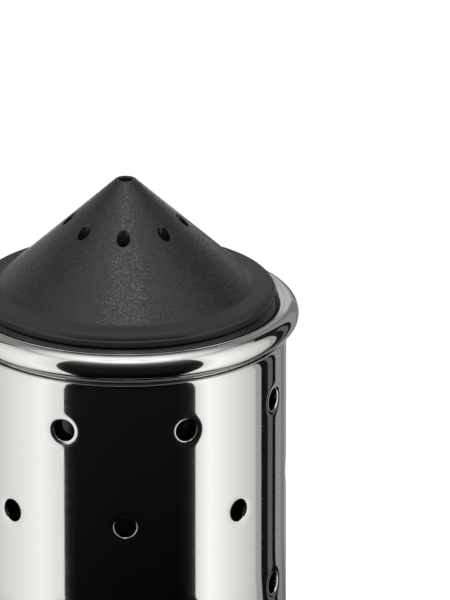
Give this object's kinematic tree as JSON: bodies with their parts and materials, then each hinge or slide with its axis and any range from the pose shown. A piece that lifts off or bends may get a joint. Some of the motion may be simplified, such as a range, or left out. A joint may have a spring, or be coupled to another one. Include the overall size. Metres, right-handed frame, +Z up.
{
  "type": "salt shaker",
  "caption": "Table shaker for salt: a perforated polished steel sleeve with a rolled rim round a black jar, closed by a matte black perforated cone that pulls off for filling.",
  "frame": {"origin": "middle of the foot ring's underside, on the table", "axes": "+Z up along the shaker's axis; -Y is the front that the picture shows"},
  "size_m": [0.0538, 0.0538, 0.09],
  "materials": {
    "polished_steel": "mirror polished stainless steel",
    "jar_plastic": "glossy black, moulded smooth",
    "cap_plastic": "matte black, finely grained mould",
    "base_plastic": "satin black, moulded",
    "rubber": "plain black moulded rubber"
  },
  "bodies": {
    "sleeve": {"steel_sleeve": "polished_steel", "base_plate": "base_plastic", "foot_ring": "rubber", "rim_grip_ring": "rubber"},
    "jar": {"salt_jar": "jar_plastic"},
    "seal": {"cap_seal": "rubber"},
    "cap": {"cone_cap": "cap_plastic"}
  },
  "joints": [
    {"name": "jar_lift", "type": "slide", "parent": "sleeve", "child": "jar", "axis": [0, 0, 1], "range_m": [0, 0.066]},
    {"name": "cap_pull", "type": "slide", "parent": "jar", "child": "seal", "axis": [0, 0, 1], "range_m": [0, 0.02]},
    {"name": "cap_turn", "type": "hinge", "parent": "seal", "child": "cap", "pos_m": [0, 0, 0.0705], "axis": [0, 0, 1], "continuous": true}
  ]
}
